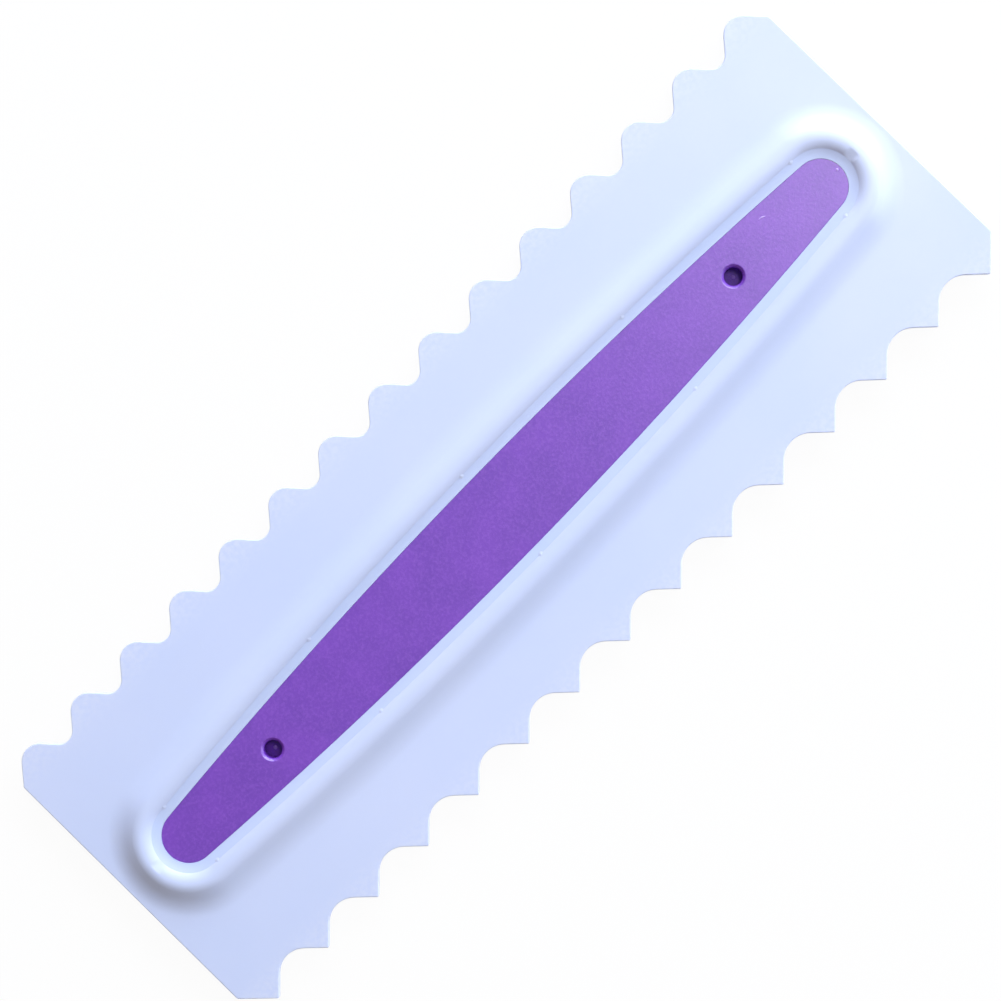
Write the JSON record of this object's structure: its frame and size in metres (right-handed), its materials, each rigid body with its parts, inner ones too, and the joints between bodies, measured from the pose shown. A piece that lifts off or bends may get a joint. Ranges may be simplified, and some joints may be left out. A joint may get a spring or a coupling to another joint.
{
  "type": "icing smoother",
  "caption": "Two-edged plastic comb for smoothing and patterning cake icing, with a boat-shaped raised rim around an inlaid grip pad on each face.",
  "frame": {"origin": "centre of the whole tool, on the middle plane of the blade", "axes": "+X along the blade's length, +Y towards the wave edge, -Y towards the scallop edge, +Z out of the front face with the two holes"},
  "size_m": [0.2286, 0.0762, 0.007],
  "materials": {
    "white_plastic": "satin",
    "purple_plastic": "matte"
  },
  "bodies": {
    "root": {"comb_blade": "white_plastic", "front_carrier": "white_plastic", "front_pad": "purple_plastic", "rear_carrier": "white_plastic", "rear_pad": "purple_plastic"}
  },
  "joints": []
}
